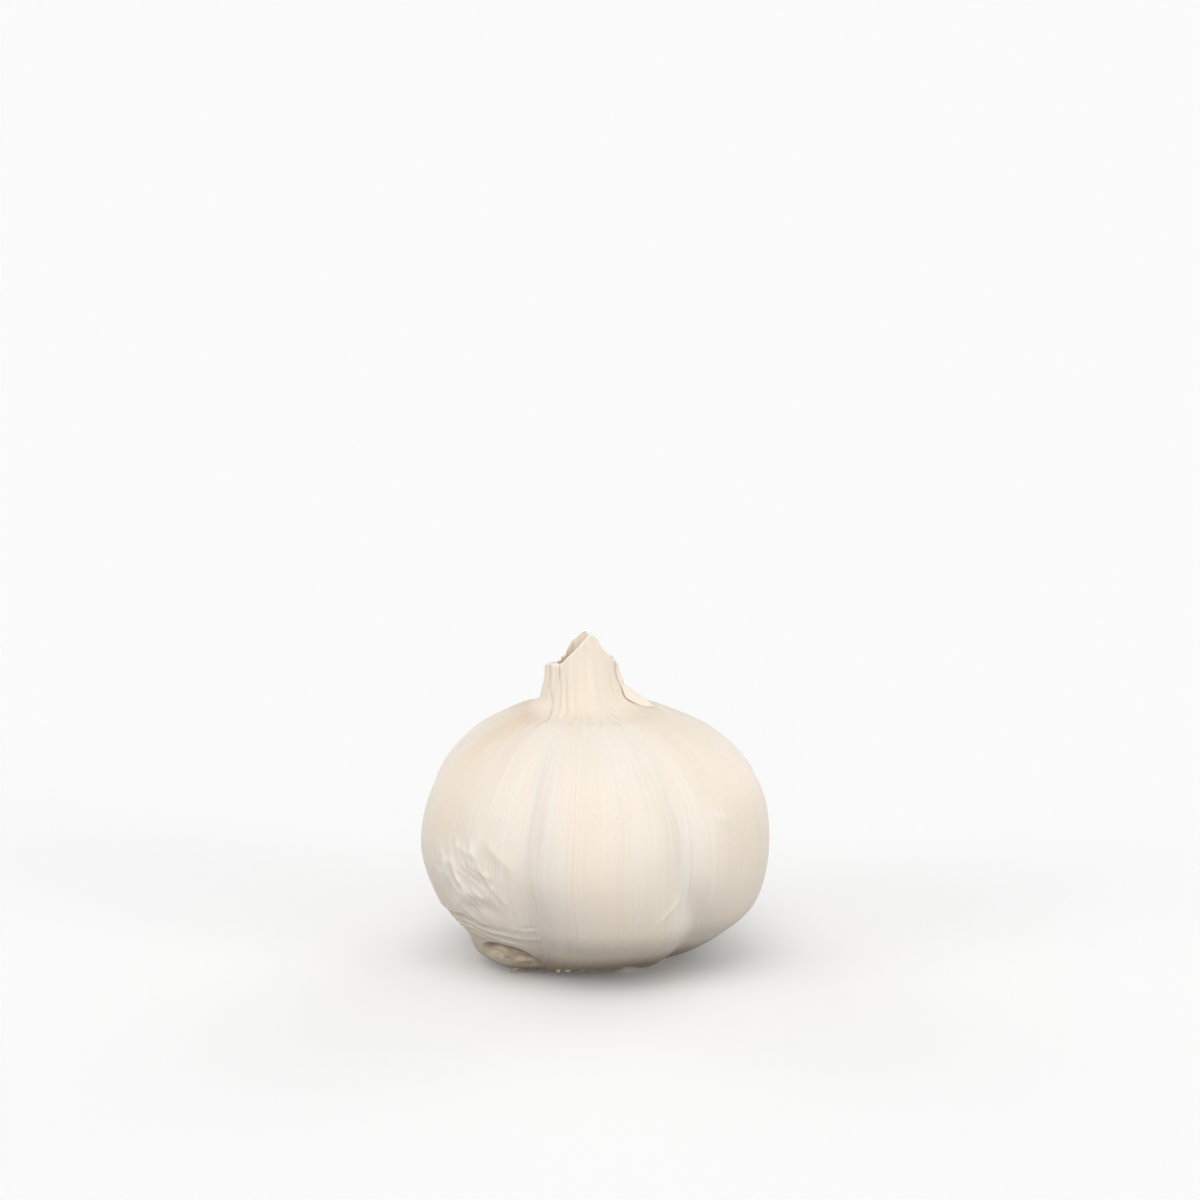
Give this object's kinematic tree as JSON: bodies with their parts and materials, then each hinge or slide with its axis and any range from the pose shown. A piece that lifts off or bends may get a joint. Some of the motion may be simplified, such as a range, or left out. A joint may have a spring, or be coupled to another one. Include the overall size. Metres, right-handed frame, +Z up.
{
  "type": "garlic bulb",
  "caption": "Whole garlic bulb in its papery skin, standing on its root plate, with a dried neck cut off slantwise and a torn flap of skin beside it.",
  "frame": {"origin": "centre of the root plate's flat underside, on the surface that the bulb stands on", "axes": "+Z up along the bulb towards the cut neck, -Y towards the side with the torn skin at its foot"},
  "size_m": [0.0571, 0.0577, 0.0541],
  "materials": {
    "skin": "smooth dry papery skin, cream white with faint lengthwise fibres, soft sheen",
    "inner_sheath": "dry matt inner skin, tan cream",
    "torn_skin": "thin torn papery skin with brown edges",
    "root_cork": "rough dry cork with brown trimmed roots"
  },
  "bodies": {
    "root": {"bulb": "skin", "neck_inner_sheath": "inner_sheath", "skin_flap": "torn_skin", "root_plate": "root_cork"}
  },
  "joints": []
}
